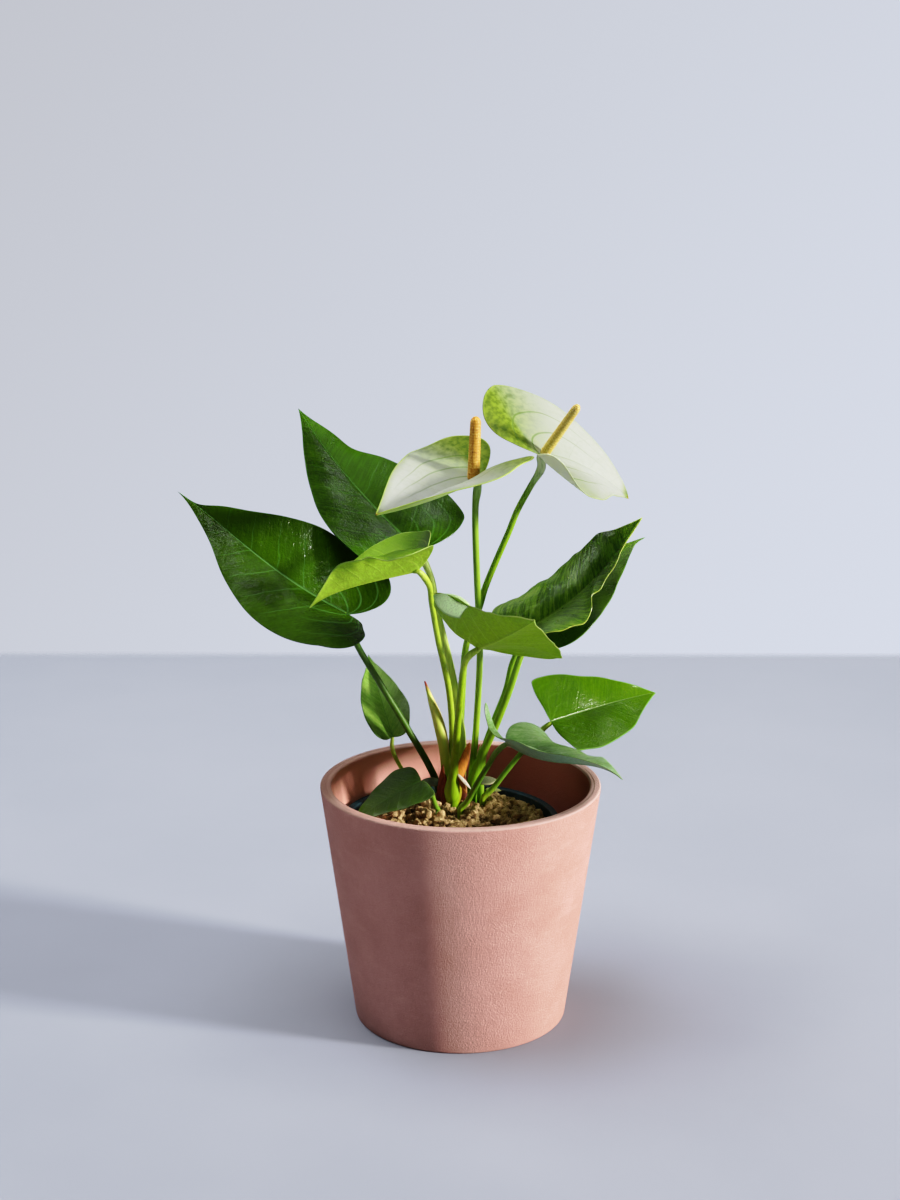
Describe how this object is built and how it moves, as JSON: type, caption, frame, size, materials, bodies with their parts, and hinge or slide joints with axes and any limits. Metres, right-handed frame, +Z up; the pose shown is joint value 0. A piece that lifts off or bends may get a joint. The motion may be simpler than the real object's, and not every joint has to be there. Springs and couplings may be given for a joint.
{
  "type": "potted anthurium",
  "caption": "Small potted anthurium: heart-shaped leaves and white-green blooms with yellow spikes on slender stalks, in a nursery pot inside a tapered terracotta cover pot.",
  "frame": {"origin": "middle of the cover pot's flat base, which stands on the surface", "axes": "+Z up; +X to the right and -Y towards the viewer in the picture, with the largest leaf on the -X side"},
  "size_m": [0.2595, 0.1812, 0.3395],
  "materials": {
    "pot_clay": "matte pinkish terracotta with fine speckle",
    "nursery_plastic": "thin moulded plastic, dark teal",
    "growing_medium": "coarse crumbly bark and peat",
    "leaf_dark": "glossy, leathery, with pale veins",
    "leaf_fresh": "satin, leathery, with a pale midrib",
    "leaf_young": "soft satin, yellow-green",
    "stalk": "smooth satin, green to yellow-green",
    "spathe": "waxy white with green shoulders and veins",
    "spadix": "rough yellow-orange florets"
  },
  "bodies": {
    "root": {"cover_pot": "pot_clay", "nursery_pot": "nursery_plastic", "soil": "growing_medium", "leaf_1_blade": "leaf_dark", "leaf_1_petiole": "stalk", "leaf_2_blade": "leaf_dark", "leaf_2_petiole": "stalk", "leaf_3_blade": "leaf_young", "leaf_3_petiole": "stalk", "leaf_4_blade": "leaf_fresh", "leaf_4_petiole": "stalk", "leaf_5_blade": "leaf_dark", "leaf_5_petiole": "stalk", "leaf_6_blade": "leaf_dark", "leaf_6_petiole": "stalk", "leaf_7_blade": "leaf_fresh", "leaf_7_petiole": "stalk", "leaf_8_blade": "leaf_fresh", "leaf_8_petiole": "stalk", "leaf_9_blade": "leaf_fresh", "leaf_9_petiole": "stalk", "leaf_10_blade": "leaf_dark", "leaf_10_petiole": "stalk", "bloom_1_spathe": "spathe", "bloom_1_spadix": "spadix", "bloom_1_stem": "stalk", "bloom_2_spathe": "spathe", "bloom_2_spadix": "spadix", "bloom_2_stem": "stalk", "new_shoot": "leaf_young"}
  },
  "joints": []
}
